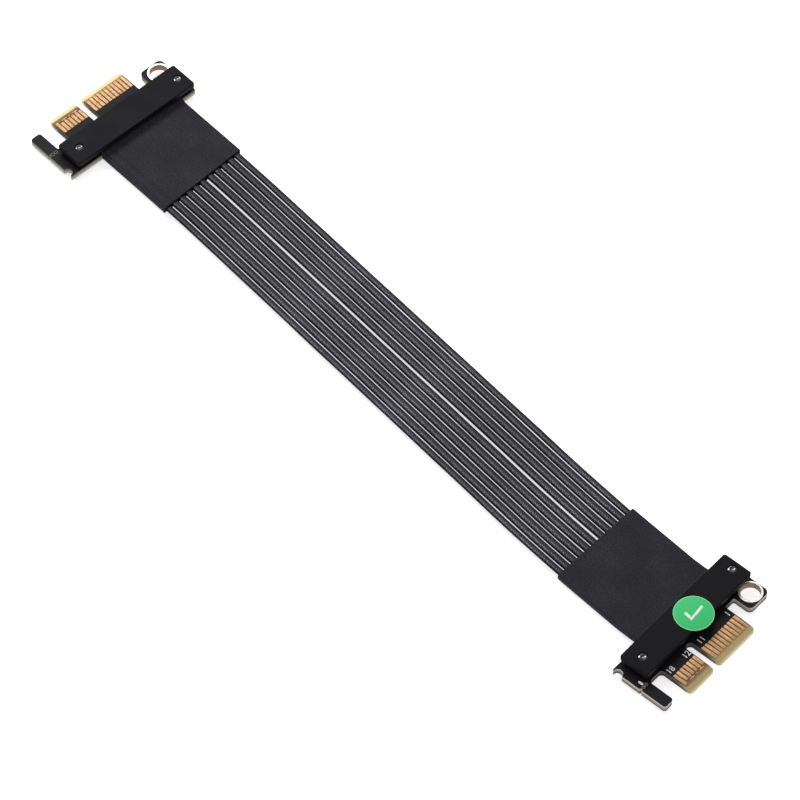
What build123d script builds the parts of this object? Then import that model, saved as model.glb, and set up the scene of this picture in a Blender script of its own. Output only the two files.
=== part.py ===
"""Male-to-male x1 card-edge extension cable, in millimetres.

Eleven flat twin-core strips lie side by side and run from one small edge card to the other.
At each end a cloth tape sleeve gathers the strips, their cores are soldered to the upper face
of the card, and a plate on standing bosses, held by two through rivets, covers the joints.
The card of the second end lies turned over, so the two ends show opposite card faces.

X runs along the straight middle of the ribbon, end A at -X and end B at +X. Z is up. The
origin is the middle of the foot of the part's box, on the surface that the rivets' feet rest on.
On a card, u runs across from the middle of the key slot and v from the bottom of the notches
toward the contact tips. w is the height above the middle of the card.
"""
from build123d import *
import os
from math import radians, tan

# Card edge contacts
contact_pitch = 1.0
contact_width = 0.7
contact_thickness = 0.05
long_row = 11
short_row = 7
bare_tip = 1.55
contact_length = 3.7
short_contact_length = 2.7
last_contact_length = 3.3

# Card outline
card_thickness = 1.6
key_width = 1.9
key_side_margin = 0.55
tongue_side_margin = 0.65
tongue_depth = 8.0
tongue_corner = 0.8
key_corner = 0.6
key_end_flat = 0.04
bevel_length = 1.3
bevel_depth = 0.45
body_depth = 7.4
hook_width = 2.7
hook_length = 6.4
hook_corner = 0.6
hook_notch_width = 3.85
hook_notch_corner = 0.9
tab_width = 6.15
tab_length = 4.4
tab_corner = 1.2
tab_notch_width = 2.85
tab_notch_corner = 0.45
card_corner = 0.2
break_hole_radius = 0.26
break_hole_count = 3
edge_notch_radius = 1.1
edge_notch_from_back = 1.4

# Fixing hole in the tab, with a flat metal ring on each face
bore_radius = 2.15
ring_thickness = 0.05
ring_radius = 2.65
ring_to_edge = 0.05
ring_to_tip = 0.15

# Ribbon of twin-core strips
strips_before_gap = 6
strips_after_gap = 5
strip_width = 1.78
outer_strip_width = 1.56
thin_gap = 0.27
wide_gap = 0.55
web_thickness = 0.5
ribbon_u = 5.6
strip_to_card = 1.25

# Route of the ribbon's middle line, from its free end at A to that at B
ribbon_route = [
    (-84.05, 0.67),
    (-64.05, 1.42),
    (55.15, 1.42),
    (79.35, 2.69),
    (82.65, 3.14),
]
bend_share = 0.45

# Cloth tape sleeve
sleeve_length = 20.2
sleeve_wall = 0.4
sleeve_edge = 0.5
sleeve_clearance = 0.03
sleeve_corner = 0.5

# Soldered cores, which rise between two shares of the way from strip to card
core_radius = 0.2
core_rise = 0.1
core_rise_from = 0.3
core_rise_to = 0.8
core_bend_radius = 0.25
core_over_card = 1.75
joint_length = 1.7
joint_width = 0.6
joint_height = 0.62
joint_fillet = 0.2

# Cover plate with its bosses, and the foam under it
cover_thickness = 1.2
cover_gap = 1.15
cover_setback = 0.3
cover_overhang = 0.15
cover_corner = 0.6
cover_edge_fillet = 0.2
cover_to_card_side = 0.1
cover_to_wing = 2.2
boss_radius = 1.5
boss_to_cover_end = 0.45
boss_to_hook_end = 1.6
boss_to_foam = 0.24
boss_to_foam_hook_side = 2.3
foam_margin = 0.1
foam_setback = 0.75
foam_from_back = 0.3

# Rivets
rivet_radius = 0.7
rivet_clearance = 0.04
rivet_head_radius = 0.98
rivet_head_height = 0.3
rivet_head_clearance = 0.07
rivet_sink = 0.05
rivet_dimple_radius = 0.42
rivet_dimple_depth = 0.2
rivet_foot_radius = 1.5
rivet_foot_height = 0.5

# Round sticker on the plate of end B
sticker_radius = 4.25
sticker_thickness = 0.12
sticker_overhang = 1.7
sticker_u = 5.4

# Worked out from the sizes above
half_card = card_thickness / 2
middle_z = half_card + rivet_foot_height
mask_end = tongue_depth - bare_tip - contact_length
strip_widths = (
    [outer_strip_width]
    + [strip_width] * (strips_before_gap + strips_after_gap - 2)
    + [outer_strip_width]
)
strip_gaps = (
    [thin_gap] * (strips_before_gap - 1) + [wide_gap] + [thin_gap] * (strips_after_gap - 1)
)
ribbon_width = sum(strip_widths) + sum(strip_gaps)
strip_thickness = strip_width / 2
first_contact = key_width / 2 + key_side_margin
tongue_right = first_contact + (long_row - 1) * contact_pitch + tongue_side_margin
tongue_left = -(first_contact + (short_row - 1) * contact_pitch + tongue_side_margin)
foam_right = ribbon_u + ribbon_width / 2 + foam_margin
foam_left = ribbon_u - ribbon_width / 2 - foam_margin
card_right = max(
    tongue_right + tab_notch_width + tab_width,
    foam_right + boss_to_foam + 2 * boss_radius + boss_to_cover_end + cover_to_card_side,
)
card_left = min(
    tongue_left - hook_notch_width - hook_width,
    foam_left - boss_to_foam_hook_side - 2 * boss_radius - boss_to_hook_end - cover_to_wing,
)
cover_right = card_right - cover_to_card_side
cover_left = card_left + cover_to_wing
cover_front = -cover_setback
cover_back = -body_depth - cover_overhang
cover_middle_v = (cover_front + cover_back) / 2
rivet_us = (
    cover_left + boss_to_hook_end + boss_radius,
    cover_right - boss_to_cover_end - boss_radius,
)
bore_u = card_right - ring_to_edge - ring_radius
bore_v = tab_length - ring_to_tip - ring_radius
break_hole_step = hook_width / break_hole_count


def strip_offsets():
    """Places of the strips' middles across the ribbon, from its own middle."""
    places = []
    edge = -ribbon_width / 2
    for width, gap in zip(strip_widths, strip_gaps + [0]):
        places.append(edge + width / 2)
        edge += width + gap
    return places


def directions(route):
    """Unit vectors along the runs of a route."""
    return [(Vector(*end) - Vector(*start)).normalized() for start, end in zip(route, route[1:])]


def left_of(direction):
    """The direction square to the left of a flat one."""
    return Vector(-direction.Y, direction.X)


def bend_radii(route):
    """Signed radius at each corner, as large as the runs allow, positive for a left turn."""
    runs = [(Vector(*end) - Vector(*start)).length for start, end in zip(route, route[1:])]
    ways = directions(route)
    radii = []
    for before, after, way, next_way in zip(runs, runs[1:], ways, ways[1:]):
        turn = way.get_signed_angle(next_way, Vector(0, 0, 1))
        radii.append(bend_share * min(before, after) / tan(radians(turn) / 2))
    return radii


def beside(route, offset):
    """The route of a strip that runs to the left of another route by an offset."""
    ways = directions(route)
    first, last = left_of(ways[0]), left_of(ways[-1])
    points = [Vector(*route[0]) + first * offset]
    for corner, way, next_way in zip(route[1:-1], ways, ways[1:]):
        both = left_of(way) + left_of(next_way)
        points.append(Vector(*corner) + both * (2 * offset / both.length**2))
    return points + [Vector(*route[-1]) + last * offset]


def ribbon_path(offset):
    """Straight runs joined by tangent arcs, from the free end at A to the free end at B."""
    radii = [abs(radius - offset) for radius in bend_radii(ribbon_route)]
    return FilletPolyline(*beside(ribbon_route, offset), radius=radii).wire()


def card_plane(end):
    """The frame of a card: x is u, y is v, and z is up at A and down at B."""
    ways = directions(ribbon_route)
    if end == "a":
        free, v_dir, u_dir, up = Vector(*ribbon_route[0]), -ways[0], left_of(ways[0]), 1
    else:
        free, v_dir, u_dir, up = Vector(*ribbon_route[-1]), ways[-1], left_of(ways[-1]), -1
    origin = free + v_dir * (strip_to_card + body_depth) - u_dir * ribbon_u
    return Plane(
        origin=(origin.X, origin.Y, middle_z), x_dir=(u_dir.X, u_dir.Y, 0), z_dir=(0, 0, up)
    )


def rounded_face(corners):
    """A flat face whose outline goes round the corners (u, v, radius)."""
    count = len(corners)
    entries = []
    for i, (u, v, radius) in enumerate(corners):
        here = Vector(u, v)
        before = (Vector(*corners[i - 1][:2]) - here).normalized()
        after = (Vector(*corners[(i + 1) % count][:2]) - here).normalized()
        # Every corner is square, so the tangent points lie one radius away
        start = here + before * radius
        end = here + after * radius
        centre = here + (before + after) * radius
        entries.append((start, centre + (here - centre).normalized() * radius, end))
    edges = []
    for i, (start, middle, end) in enumerate(entries):
        edges.append(ThreePointArc(start, middle, end).edge())
        edges.append(Line(end, entries[(i + 1) % count][0]).edge())
    return Face(Wire(edges))


def slab(face, low, high):
    """The face as a plate between two heights."""
    return extrude(Plane.XY.offset(low) * face, high - low, dir=(0, 0, 1))


def card():
    key = key_width / 2
    key_end = key - key_end_flat / 2
    outline = rounded_face(
        [
            (card_left, -body_depth, card_corner),
            (card_left, hook_length, hook_corner),
            (card_left + hook_width, hook_length, hook_corner),
            (card_left + hook_width, 0, hook_notch_corner),
            (tongue_left, 0, hook_notch_corner),
            (tongue_left, tongue_depth, tongue_corner),
            (-key, tongue_depth, key_corner),
            (-key, 0, key_end),
            (key, 0, key_end),
            (key, tongue_depth, key_corner),
            (tongue_right, tongue_depth, tongue_corner),
            (tongue_right, 0, tab_notch_corner),
            (card_right - tab_width, 0, tab_notch_corner),
            (card_right - tab_width, tab_length, tab_corner),
            (card_right, tab_length, tab_corner),
            (card_right, -body_depth, card_corner),
        ]
    )
    body = slab(outline, -half_card, half_card)
    through = card_thickness * 2
    notch_v = -body_depth + edge_notch_from_back
    body -= Pos(card_left, notch_v, 0) * Cylinder(edge_notch_radius, through)
    body -= Pos(bore_u, bore_v, 0) * Cylinder(bore_radius, through)
    for u in rivet_us:
        body -= Pos(u, cover_middle_v, 0) * Cylinder(rivet_radius + rivet_clearance, through)
    for i in range(break_hole_count):
        u = card_left + i * break_hole_step
        body -= Pos(u, 0, 0) * Cylinder(break_hole_radius, through)
    for side in (-1, 1):
        wedge = Plane.YZ * make_face(
            Polyline(
                (tongue_depth - bevel_length, side * half_card),
                (tongue_depth, side * (half_card - bevel_depth)),
                (tongue_depth + bevel_length, side * (half_card - bevel_depth)),
                (tongue_depth + bevel_length, side * half_card),
                close=True,
            )
        )
        body -= extrude(wedge, card_right - card_left, both=True)
    return body


def contact_places():
    """Middle and length of each contact of one face, from the tab side to the hook side."""
    long = [(first_contact + i * contact_pitch, contact_length) for i in range(long_row)]
    short = [(-first_contact - i * contact_pitch, short_contact_length) for i in range(short_row)]
    short[-1] = (short[-1][0], last_contact_length)
    return long[::-1] + short


def contacts(side):
    """The gold fingers of one face, each a thin plate on the card."""
    middle = side * (half_card + contact_thickness / 2)
    return [
        Pos(u, mask_end + length / 2, middle) * Box(contact_width, length, contact_thickness)
        for u, length in contact_places()
    ]


def hole_ring(side):
    """The flat metal ring round the fixing hole on one face."""
    middle = side * (half_card + ring_thickness / 2)
    ring = Cylinder(ring_radius, ring_thickness) - Cylinder(bore_radius, ring_thickness * 2)
    return Pos(bore_u, bore_v, middle) * ring


def cover():
    """The plate over the soldered face with its two bosses, standing on w = 0."""
    width = cover_right - cover_left
    depth = cover_front - cover_back
    low = cover_gap
    plate = Pos((cover_left + cover_right) / 2, cover_middle_v, low + cover_thickness / 2) * Box(
        width, depth, cover_thickness
    )
    plate = fillet(plate.edges().filter_by(Axis.Z), cover_corner)
    plate = fillet(plate.faces().sort_by(Axis.Z)[-1].edges(), cover_edge_fillet)
    for u in rivet_us:
        plate += Pos(u, cover_middle_v, low / 2) * Cylinder(boss_radius, low)
    sink_depth = rivet_head_height + rivet_sink
    top = cover_gap + cover_thickness
    for u in rivet_us:
        plate -= Pos(u, cover_middle_v, top / 2) * Cylinder(
            rivet_radius + rivet_clearance, top * 2
        )
        plate -= Pos(u, cover_middle_v, top) * Cylinder(
            rivet_head_radius + rivet_head_clearance, sink_depth * 2
        )
    return plate


def facing(solid, side):
    """Turns a solid made for the upper side of the card to face either side."""
    return solid if side > 0 else mirror(solid, about=Plane.XY)


def on_face(solid, side):
    """Stands a solid made on w = 0 on the upper or lower face of the card."""
    return facing(Pos(0, 0, half_card) * solid, side)


def rivet(u):
    """A through rivet: a dimpled flat head sunk into the plate, and a wide foot below the card."""
    head_top = half_card + cover_gap + cover_thickness - rivet_sink
    foot = -half_card - rivet_foot_height
    body = Pos(0, 0, (head_top + foot) / 2) * Cylinder(rivet_radius, head_top - foot)
    body += Pos(0, 0, head_top - rivet_head_height / 2) * Cylinder(
        rivet_head_radius, rivet_head_height
    )
    body += Pos(0, 0, foot + rivet_foot_height / 2) * Cylinder(
        rivet_foot_radius, rivet_foot_height
    )
    body -= Pos(0, 0, head_top) * Cylinder(rivet_dimple_radius, rivet_dimple_depth * 2)
    return Pos(u, cover_middle_v, 0) * body


def foam():
    """The foam strip between the soldered joints and the plate, over w = 0."""
    front = cover_front - foam_setback
    back = -body_depth + foam_from_back
    height = cover_gap - joint_height
    return Pos(
        (foam_left + foam_right) / 2, (front + back) / 2, joint_height + height / 2
    ) * Box(foam_right - foam_left, front - back, height)


def core_places():
    """Where across the card the cores lie, two to a strip."""
    return [
        ribbon_u + offset + side * width / 4
        for offset, width in zip(strip_offsets(), strip_widths)
        for side in (-1, 1)
    ]


def cores(side):
    """The insulated cores that rise from the strips' ends onto the card's upper or lower face."""
    level = half_card + core_rise + core_radius
    start = -body_depth - strip_to_card
    rise_start = start + core_rise_from * strip_to_card
    rise_end = start + core_rise_to * strip_to_card
    end = -body_depth + core_over_card
    pieces = []
    for u in core_places():
        path = FilletPolyline(
            (u, start, 0),
            (u, rise_start, 0),
            (u, rise_end, side * level),
            (u, end, side * level),
            radius=core_bend_radius,
        )
        section = Plane(origin=(u, start, 0), z_dir=(0, 1, 0)) * Circle(core_radius)
        pieces.append(sweep(section, path=path.wire()))
    return pieces


def solder_joint(u):
    """A solder joint on its pad, standing on w = 0."""
    middle = -body_depth + core_over_card + joint_length / 2
    block = Pos(u, middle, joint_height / 2) * Box(joint_width, joint_length, joint_height)
    return fillet(block.faces().sort_by(Axis.Z)[-1].edges(), joint_fillet)


def strip_section(width):
    """Two round cores side by side with a web between them."""
    radius = width / 4
    shape = Circle(radius)
    section = Pos(radius, 0) * shape + Pos(-radius, 0) * shape
    return section + Rectangle(2 * radius, web_thickness * width / strip_width)


def start_plane(path):
    """The upright plane across a path at its start, with x to the left of the path."""
    ahead = path % 0
    return Plane(origin=path @ 0, x_dir=(-ahead.Y, ahead.X, 0), z_dir=ahead)


def strip(offset, width):
    """One twin-core strip from card to card."""
    path = ribbon_path(offset)
    return Pos(0, 0, middle_z) * sweep(start_plane(path) * strip_section(width), path=path)


def sleeve_path(end):
    """The part of the ribbon's middle line that the sleeve of one end covers."""
    path = ribbon_path(0)
    share = sleeve_length / path.length
    return path.trim(0, share) if end == "a" else path.trim(1 - share, 1)


def sleeve(end):
    """The closed wrap of cloth tape round the strips at one end."""
    path = sleeve_path(end)
    plane = start_plane(path)
    inside = Rectangle(
        ribbon_width + 2 * sleeve_clearance, strip_thickness + 2 * sleeve_clearance
    )
    outside = RectangleRounded(
        ribbon_width + 2 * sleeve_edge, strip_thickness + 2 * sleeve_wall, sleeve_corner
    )
    return Pos(0, 0, middle_z) * sweep(plane * (outside - inside), path=path)


def sticker():
    """The round sticker, on w = 0 of a plate and past its front edge."""
    middle_v = cover_front + sticker_overhang - sticker_radius
    return Pos(sticker_u, middle_v, sticker_thickness / 2) * Cylinder(
        sticker_radius, sticker_thickness
    )


def end_pieces(end):
    """Every piece of one end by its node's name, each a list of solids in the part's frame."""
    place = card_plane(end).location
    # The card of end B lies face down
    up = 1 if end == "a" else -1
    pieces = {
        f"card_{end}": [card()],
        f"hole_rings_{end}": [hole_ring(side) for side in (1, -1)],
        f"contacts_top_{end}": contacts(up),
        f"contacts_bottom_{end}": contacts(-up),
        f"cover_{end}": [on_face(cover(), up)],
        f"foam_{end}": [on_face(foam(), up)],
        f"rivets_{end}": [facing(rivet(u), up) for u in rivet_us],
        f"cores_{end}": cores(up),
        f"solder_joints_{end}": [on_face(solder_joint(u), up) for u in core_places()],
    }
    placed = {name: [place * solid for solid in solids] for name, solids in pieces.items()}
    placed[f"sleeve_{end}"] = [sleeve(end)]
    return placed


def model():
    """Every node's solids by name."""
    nodes = {}
    for end in ("a", "b"):
        nodes.update(end_pieces(end))
    on_plate = Pos(0, 0, cover_gap + cover_thickness) * sticker()
    nodes["sticker"] = [card_plane("b").location * on_face(on_plate, -1)]
    for i, (offset, width) in enumerate(zip(strip_offsets(), strip_widths)):
        nodes[f"strip_{i + 1:02d}"] = [strip(offset, width)]
    middle = Compound([s for solids in nodes.values() for s in solids]).bounding_box().center()
    centred = Pos(-middle.X, -middle.Y, 0)
    return {name: [centred * solid for solid in solids] for name, solids in nodes.items()}


def write(nodes):
    os.makedirs("parts", exist_ok=True)
    for name, solids in nodes.items():
        shapes = [s for piece in solids for s in piece.solids()]
        shape = shapes[0] if len(shapes) == 1 else Compound(children=shapes)
        export_step(shape, f"parts/{name}.step")


nodes = model()
write(nodes)
print("ribbon width", round(ribbon_width, 2))
print("bend radii", [round(abs(radius), 1) for radius in bend_radii(ribbon_route)])
print("strip lengths", [round(ribbon_path(offset).length, 1) for offset in strip_offsets()])
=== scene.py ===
# %% [markdown]
# A flat extension cable with a male card edge at each end, drawn on a light table.
#
# The measured model gives every piece its place, so this script starts by loading it. The pieces
# whose form is already right keep their mesh and only get a finish. The ones that a camera sees
# the weave, the rounded rims or the gathering of are worked out here as surfaces with numpy.

import bpy
import numpy as np
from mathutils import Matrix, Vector


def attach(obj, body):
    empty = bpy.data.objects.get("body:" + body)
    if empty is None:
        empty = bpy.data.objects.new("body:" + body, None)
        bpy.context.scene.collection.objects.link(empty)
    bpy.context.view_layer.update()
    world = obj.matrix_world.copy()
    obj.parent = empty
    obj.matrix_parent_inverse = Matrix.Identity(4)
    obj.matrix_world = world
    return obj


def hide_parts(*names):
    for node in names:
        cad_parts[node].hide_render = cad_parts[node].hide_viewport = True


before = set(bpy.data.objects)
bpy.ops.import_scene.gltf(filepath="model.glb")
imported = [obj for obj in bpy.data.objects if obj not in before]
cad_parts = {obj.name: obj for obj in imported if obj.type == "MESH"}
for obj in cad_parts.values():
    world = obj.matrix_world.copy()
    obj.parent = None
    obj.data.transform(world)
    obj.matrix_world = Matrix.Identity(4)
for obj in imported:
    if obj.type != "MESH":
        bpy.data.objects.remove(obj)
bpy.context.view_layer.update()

# %% [markdown]
# Everything follows the route of the ribbon. Its points are the corners of the middle line, from
# the free end at A to the free end at B, and each card stands at an end of it. Lengths are
# written in millimetres, as on a drawing, and MM turns them into Blender's metres.
#
# On a card, u runs across from the key slot, v toward the contact tips and w up from the card's
# middle. The card at B is the same one turned over, so its w points down.

# %% Sizes of the ribbon and of its ends
MM = 0.001
ribbon_route = np.array(
    [(-84.05, 0.67), (-64.05, 1.42), (-44.05, 1.42), (30.95, 1.42), (55.15, 1.42),
     (76.03, 2.516), (79.35, 2.69), (82.65, 3.14)]
)
card_thickness = 1.6
half_card = card_thickness / 2
foot_height = 0.5
middle_z = half_card + foot_height
body_depth = 7.4
strip_to_card = 1.25
ribbon_u = 5.6
strip_widths = [1.56] + [1.78] * 9 + [1.56]
strip_gaps = [0.27] * 5 + [0.55] + [0.27] * 4
ribbon_width = sum(strip_widths) + sum(strip_gaps)
print("ribbon width", round(ribbon_width, 2), "mm")

# %% Directions along a route and beside it


def unit(vectors):
    """Each row divided by its own length."""
    return vectors / np.linalg.norm(vectors, axis=-1, keepdims=True)


def left_of(directions):
    """A flat direction turned a quarter turn to the left: (x, y) becomes (-y, x)."""
    return np.stack([-directions[..., 1], directions[..., 0]], axis=-1)


def beside(route, offset):
    """The corners of a route that runs beside another.

    At a corner both runs' left normals are added, and the sum is scaled so that the new corner
    lies the offset away from both runs.
    """
    sides = left_of(unit(np.diff(route, axis=0)))
    both = np.vstack([2 * sides[0], sides[:-1] + sides[1:], 2 * sides[-1]])
    return route + both * (2 * offset / (both**2).sum(1))[:, None]


ends = {}
for end, free, outward, up in (
    ("a", ribbon_route[0], unit(ribbon_route[0] - ribbon_route[1]), 1),
    ("b", ribbon_route[-1], unit(ribbon_route[-1] - ribbon_route[-2]), -1),
):
    across = left_of(outward) * (-1 if end == "a" else 1)
    origin = free + outward * (strip_to_card + body_depth) - across * ribbon_u
    ends[end] = (origin, across, outward, up)
    turn = float(np.degrees(np.arctan2(across[1], across[0])))
    print("card", end, "origin", origin.round(3), "turned", round(turn, 2), "degrees")


def on_card(end, points):
    """Points (u, v, w) of a card in millimetres, placed in the part's frame in metres."""
    origin, across, outward, up = ends[end]
    u, v, w = np.asarray(points, float).T
    flat = origin + u[:, None] * across + v[:, None] * outward
    return np.column_stack([flat, middle_z + up * w]) * MM


# %% [markdown]
# Two kinds of surface make nearly every new piece here. A sheet of points on a grid becomes a
# skin of four-sided faces, and it may close on itself in either direction, as a tube does. The
# helper also writes a UV map in millimetres, so that a weave keeps its true pitch.

# %% Turn grids of points into meshes


def grid_faces(rows, columns, closed=False, first=0):
    """Faces of a grid whose columns may close into a ring, as indices into its points."""
    last = columns if closed else columns - 1
    i, j = np.meshgrid(np.arange(rows - 1), np.arange(last), indexing="ij")
    here = i * columns + j
    beside_it = i * columns + (j + 1) % columns
    quads = np.stack([here, beside_it, beside_it + columns, here + columns], axis=-1)
    return first + quads.reshape(-1, 4)


def add_piece(name, parts, finish, uvs=None):
    """One object from several (points, faces) parts in metres, with one finish on it."""
    points = np.vstack([p for p, _ in parts])
    starts = np.cumsum([0] + [len(p) for p, _ in parts])
    faces = [tuple(int(k) + start for k in f) for (_, fs), start in zip(parts, starts) for f in fs]
    mesh = bpy.data.meshes.new(name)
    mesh.from_pydata(points.tolist(), [], faces)
    mesh.shade_smooth()
    if uvs is not None:
        corners = np.empty(len(mesh.loops), np.int32)
        mesh.loops.foreach_get("vertex_index", corners)
        layer = mesh.uv_layers.new(name="UVMap")
        layer.uv.foreach_set("vector", np.asarray(uvs, np.float32)[corners].ravel())
    mesh.materials.append(finish)
    mesh.validate()
    piece = bpy.data.objects.new(name, mesh)
    bpy.context.collection.objects.link(piece)
    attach(piece, "root")
    return piece


def triangles(piece):
    """How many triangles a piece has."""
    return sum(len(p.vertices) - 2 for p in piece.data.polygons)


print("3 closed rings of 8 points have", len(grid_faces(3, 8, closed=True)), "faces")

# %% [markdown]
# A finish is a small graph of nodes. Colours here are written as the camera saw them, from 0 to
# 255, and turned into the linear values that a shader wants. Every finish gets some variation
# of colour and roughness and a little bump, because a single flat colour never looks real.

# %% Helpers for node graphs


def shade(red, green, blue):
    """A screen colour of 0 to 255 a channel as linear red, green and blue."""
    screen = np.array([red, green, blue]) / 255
    linear = np.where(screen <= 0.04045, screen / 12.92, ((screen + 0.055) / 1.055) ** 2.4)
    return (*linear.tolist(), 1.0)


class Finish:
    """A material with short calls for the nodes that this scene uses."""

    def __init__(self, name, roughness=0.5, metallic=0.0, specular=0.5):
        self.material = bpy.data.materials.new(name)
        self.material.use_nodes = True
        self.tree = self.material.node_tree
        self.shader = self.tree.nodes["Principled BSDF"]
        self.shader.inputs["Roughness"].default_value = roughness
        self.shader.inputs["Metallic"].default_value = metallic
        self.shader.inputs["Specular IOR Level"].default_value = specular

    def node(self, kind, values=None, **settings):
        """A node with its settings, its sockets filled with numbers or linked to outputs."""
        made = self.tree.nodes.new(kind)
        for key, value in settings.items():
            setattr(made, key, value)
        for key, value in (values or {}).items():
            if isinstance(value, bpy.types.NodeSocket):
                self.tree.links.new(value, made.inputs[key])
            else:
                made.inputs[key].default_value = value
        return made

    def math(self, operation, *values):
        """One arithmetic step on numbers or outputs."""
        made = self.node("ShaderNodeMath", dict(enumerate(values)), operation=operation)
        return made.outputs[0]

    def place(self, turn=0.0, scale=(1, 1, 1), source="Object"):
        """Object or UV coordinates, turned about Z and scaled."""
        made = self.node("ShaderNodeTexCoord")
        return self.node(
            "ShaderNodeMapping",
            {"Vector": made.outputs[source], "Rotation": (0, 0, turn), "Scale": scale},
        ).outputs[0]

    def noise(self, vector, scale, detail=3.0):
        """Cloudy variation between 0 and 1."""
        made = self.node(
            "ShaderNodeTexNoise", {"Vector": vector, "Scale": scale, "Detail": detail}
        )
        return made.outputs[0]

    def ramp(self, value, stops):
        """Colours or greys along a value, as (place, colour) pairs."""
        made = self.node("ShaderNodeValToRGB", {0: value})
        elements = made.color_ramp.elements
        while len(elements) < len(stops):
            elements.new(0.5)
        for element, (place, colour) in zip(elements, stops):
            element.position = place
            element.color = colour if hasattr(colour, "__len__") else (colour,) * 3 + (1,)
        return made.outputs[0]

    def mix(self, factor, first, second):
        """Two colours mixed by a factor: the colour sockets of a Mix node are 6 and 7."""
        made = self.node("ShaderNodeMix", {0: factor, 6: first, 7: second}, data_type="RGBA")
        return made.outputs[2]

    def colour(self, output):
        """Links an output to the colour of the surface."""
        self.tree.links.new(output, self.shader.inputs["Base Color"])

    def roughness(self, output):
        """Links an output to the roughness of the surface."""
        self.tree.links.new(output, self.shader.inputs["Roughness"])

    def bump(self, height, distance, strength=1.0):
        """Relief from a height between 0 and 1, over a distance in metres."""
        made = self.node(
            "ShaderNodeBump", {"Height": height, "Distance": distance, "Strength": strength}
        )
        self.tree.links.new(made.outputs[0], self.shader.inputs["Normal"])

    def speckled(self, fineness, dark, light, depth, strength, detail=4.0, to=0.7):
        """One fine noise that drives both the colour, from dark to light, and the relief."""
        noise = self.noise(self.place(scale=(fineness,) * 3), 1.0, detail)
        self.colour(self.ramp(noise, [(0.3, shade(*dark)), (to, shade(*light))]))
        self.bump(noise, depth, strength)


def dress(start, finish):
    """Puts a finish on every measured node whose name begins with the start."""
    for name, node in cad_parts.items():
        if name.startswith(start):
            node.data.materials.clear()
            node.data.materials.append(finish)
            print("finish", finish.name, "on", name)


print("helpers for finishes are ready")

# %% [markdown]
# The strips are the body of the cable. Each holds two round cores side by side under a thin
# wrap that bridges the valley between them, so its section is flat on top with round flanks. The
# wrap is wound at a slant. Across each strip the finish paints shade on both flanks, a painted
# highlight as a paler ridge along one side and painted shade on the side beyond it.
#
# The winding lines could be modelled, but at less than half a millimetre apart a finish does
# the same with no extra faces. The mesh hands it two things: a UV map in millimetres along and
# round the strip, and how far across the strip a point lies, from -1 at one flank to 1.

# %% The wrap of the strips
wrap = Finish("strip_wrap", roughness=0.55, specular=0.12)
across_it = wrap.node("ShaderNodeAttribute", attribute_name="across").outputs["Fac"]
wound = wrap.place(source="UV", turn=0.55)
lines = wrap.node(
    "ShaderNodeTexWave", {"Vector": wound, "Scale": 0.72, "Distortion": 4.5, "Detail": 4.0,
                          "Detail Scale": 1.9, "Detail Roughness": 0.7},
).outputs[1]
flecks = wrap.noise(wrap.place(source="UV", scale=(1.7, 2.2, 1)), 1.6, 4.0)
slow = wrap.noise(wrap.place(source="UV", scale=(0.09, 0.3, 1)), 1.0, 2.0)
# Painted light across the strip: painted shade on the flanks, a painted highlight ridge and painted
# shade beyond it
spread = wrap.math("MULTIPLY_ADD", across_it, 0.5, 0.5)
wander = wrap.math("MULTIPLY_ADD", wrap.math("SUBTRACT", slow, 0.5), 0.12, spread)
profile = wrap.ramp(
    wander,
    [(0.0, 0.0), (0.08, 0.14), (0.16, 0.44), (0.26, 0.76), (0.36, 0.74), (0.52, 0.48), (0.66, 0.33),
     (0.8, 0.26), (0.95, 0.1)],
)
grit = wrap.math("MULTIPLY_ADD", wrap.math("SUBTRACT", flecks, 0.5), 1.3, profile)
hatch = wrap.math("MULTIPLY_ADD", wrap.math("SUBTRACT", lines, 0.5), 0.2, grit)
tone = wrap.math("MULTIPLY_ADD", wrap.math("SUBTRACT", slow, 0.5), 0.4, hatch)
# Toward the sleeves the wrap is darker, more so at the first end
strip_length = 168.0
length_along = wrap.node("ShaderNodeSeparateXYZ", {0: wrap.place(source="UV")}).outputs[0]
away_from_sleeves = wrap.ramp(
    wrap.math("DIVIDE", length_along, strip_length),
    [(0.1, 0.0), (0.3, 1.0), (0.85, 1.0), (1.0, 0.6)],
)
tone = wrap.math("MULTIPLY_ADD", wrap.math("SUBTRACT", away_from_sleeves, 1.0), 0.14, tone)
wrap.colour(
    wrap.ramp(tone, [(0.0, shade(5, 5, 7)), (0.3, shade(29, 28, 33)), (0.6, shade(62, 61, 68)),
                     (0.85, shade(99, 98, 107)), (1.05, shade(154, 153, 164))])
)
wrap.bump(hatch, 0.00005, 0.7)
print("wrap finish", wrap.material.name)

# %% [markdown]
# A strip is a section carried along a line. The line is Blender's own smooth curve, with the
# corners of the strip's route as its control points, so every bend stays gentle. The curve could
# carry the section by itself, as a bevel, but the section has to stay level and to wander a few
# hundredths of a millimetre, as hand-laid cable does, so numpy places it instead.

# %% Carry a section along the route


def route_line(corners, name):
    """Points of the smooth line that has the corners as its control points, in metres."""
    curve = bpy.data.curves.new(name, "CURVE")
    curve.dimensions = "3D"
    curve.resolution_u = 48
    spline = curve.splines.new("NURBS")
    spline.points.add(len(corners) - 1)
    heights = np.full(len(corners), middle_z)
    rows = np.column_stack([corners, heights]) * MM
    spline.points.foreach_set("co", np.column_stack([rows, np.ones(len(rows))]).ravel())
    spline.order_u = 3
    spline.use_endpoint_u = True
    holder = bpy.data.objects.new(name, curve)
    mesh = bpy.data.meshes.new_from_object(holder)
    line = np.empty(len(mesh.vertices) * 3)
    mesh.vertices.foreach_get("co", line)
    bpy.data.objects.remove(holder)
    bpy.data.curves.remove(curve)
    bpy.data.meshes.remove(mesh)
    return line.reshape(-1, 3)


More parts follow.
